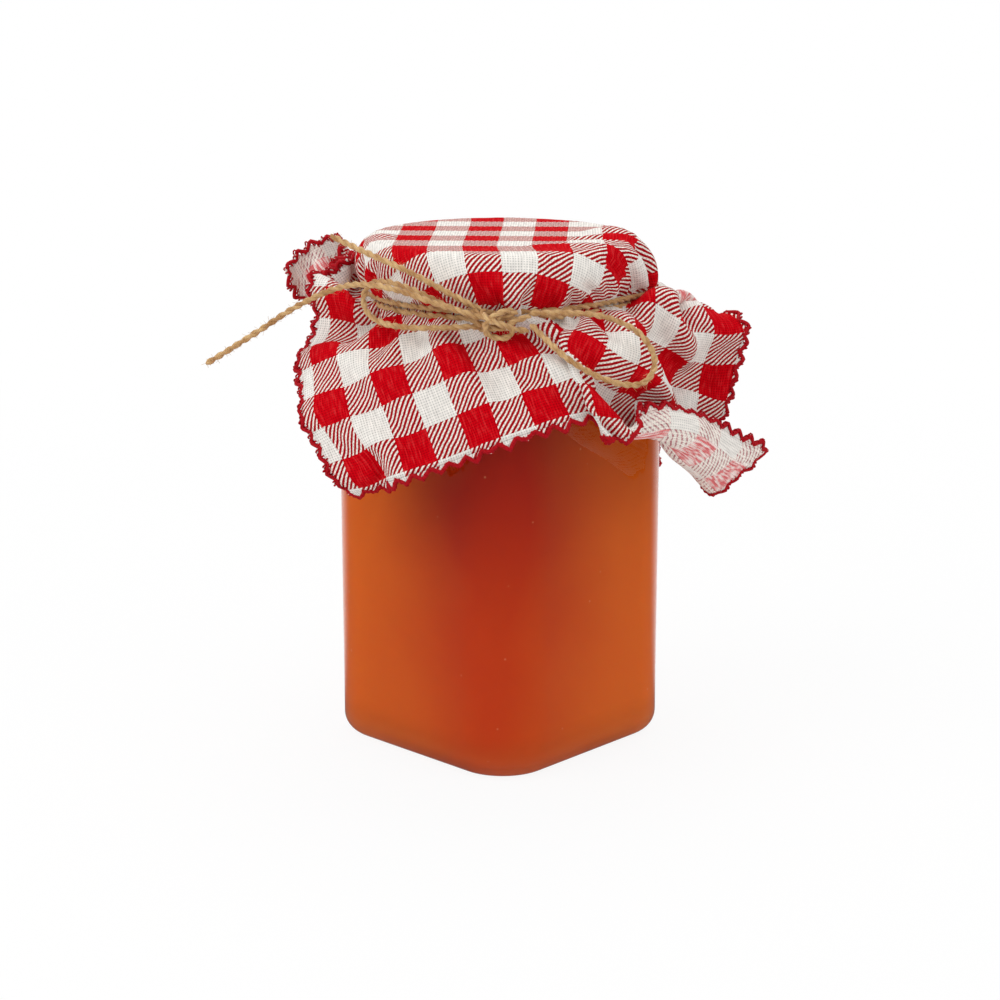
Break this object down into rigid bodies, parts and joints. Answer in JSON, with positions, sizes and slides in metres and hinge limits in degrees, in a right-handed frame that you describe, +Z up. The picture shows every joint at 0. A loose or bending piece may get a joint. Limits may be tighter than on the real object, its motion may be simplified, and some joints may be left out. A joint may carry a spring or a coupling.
{
  "type": "square preserving jar",
  "caption": "Square glass preserving jar of apricot-red jam, shut with a twist-off lid under a red and white gingham cloth cover tied with jute twine.",
  "frame": {"origin": "middle of the jar's base, on the surface that it stands on", "axes": "+Z up through the lid; X and Y square to the jar's flat sides; the bow faces between -X and -Y"},
  "size_m": [0.116, 0.1318, 0.1365],
  "materials": {
    "glass": "clear pressed glass",
    "jam": "glossy translucent jam",
    "lid": "lacquered tinplate",
    "gingham": "printed cotton canvas",
    "jute": "two-ply jute twine"
  },
  "bodies": {
    "root": {"glass_jar": "glass", "jam": "jam", "lid": "lid", "cloth_cover": "gingham", "twine_turn_upper": "jute", "twine_turn_lower": "jute", "twine_knot": "jute", "twine_loop_left": "jute", "twine_loop_right": "jute", "twine_end_short": "jute", "twine_end_long": "jute"}
  },
  "joints": []
}
